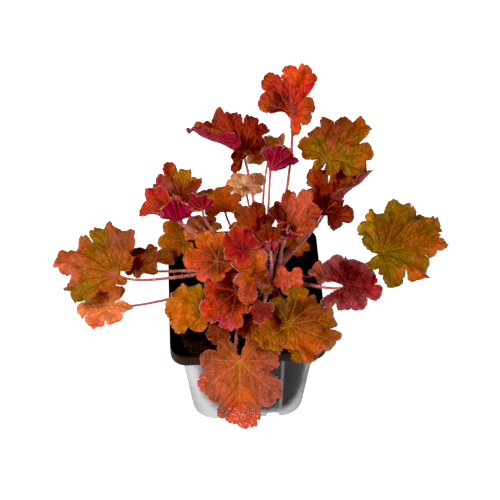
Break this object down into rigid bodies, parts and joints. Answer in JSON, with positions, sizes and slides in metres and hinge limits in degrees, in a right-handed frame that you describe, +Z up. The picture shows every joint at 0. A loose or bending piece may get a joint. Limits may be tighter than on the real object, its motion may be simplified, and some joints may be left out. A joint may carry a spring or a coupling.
{
  "type": "heuchera plant",
  "caption": "Young orange and crimson leaved heuchera with ruffled lobed leaves on long stalks, growing in soil in a square black nursery pot.",
  "frame": {"origin": "centre of the pot's underside", "axes": "+Z up, -Y towards the pot's front wall"},
  "size_m": [0.2282, 0.1585, 0.2012],
  "materials": {
    "pot_plastic": "glossy",
    "potting_soil": "rough, crumbly",
    "petiole": "satin, hairy",
    "leaf_orange": "satin",
    "leaf_dark": "satin",
    "leaf_tan": "matt",
    "leaf_crimson": "satin",
    "leaf_olive": "satin",
    "leaf_salmon": "satin"
  },
  "bodies": {
    "root": {"pot": "pot_plastic", "soil": "potting_soil", "stems": "petiole", "leaf_top": "leaf_orange", "leaf_back_left_large": "leaf_dark", "leaf_back_brown": "leaf_tan", "leaf_back_cupped": "leaf_crimson", "leaf_back_tan": "leaf_tan", "leaf_back_right": "leaf_olive", "leaf_right_dark": "leaf_dark", "leaf_right_large": "leaf_olive", "leaf_right_crimson": "leaf_crimson", "leaf_front_right": "leaf_olive", "leaf_front_right_low": "leaf_olive", "leaf_front_large": "leaf_salmon", "leaf_far_left": "leaf_olive", "leaf_left_inner": "leaf_dark", "leaf_left_salmon": "leaf_salmon", "leaf_left_yellow": "leaf_salmon", "leaf_left_coral": "leaf_salmon", "leaf_left_olive": "leaf_olive", "leaf_left_back_olive": "leaf_olive", "leaf_left_cupped": "leaf_crimson", "leaf_left_high": "leaf_orange", "leaf_left_magenta": "leaf_crimson", "leaf_back_orange": "leaf_orange", "leaf_centre_right": "leaf_orange", "leaf_centre_left": "leaf_dark", "leaf_centre_cupped": "leaf_crimson", "leaf_centre_olive": "leaf_olive", "leaf_centre_ruffled": "leaf_orange", "leaf_centre_large": "leaf_orange", "leaf_front_centre": "leaf_orange", "leaf_coral_star": "leaf_salmon", "leaf_pink_small": "leaf_crimson", "leaf_centre_red": "leaf_crimson", "leaf_left_brown_small": "leaf_orange", "leaf_dry": "leaf_tan"}
  },
  "joints": []
}
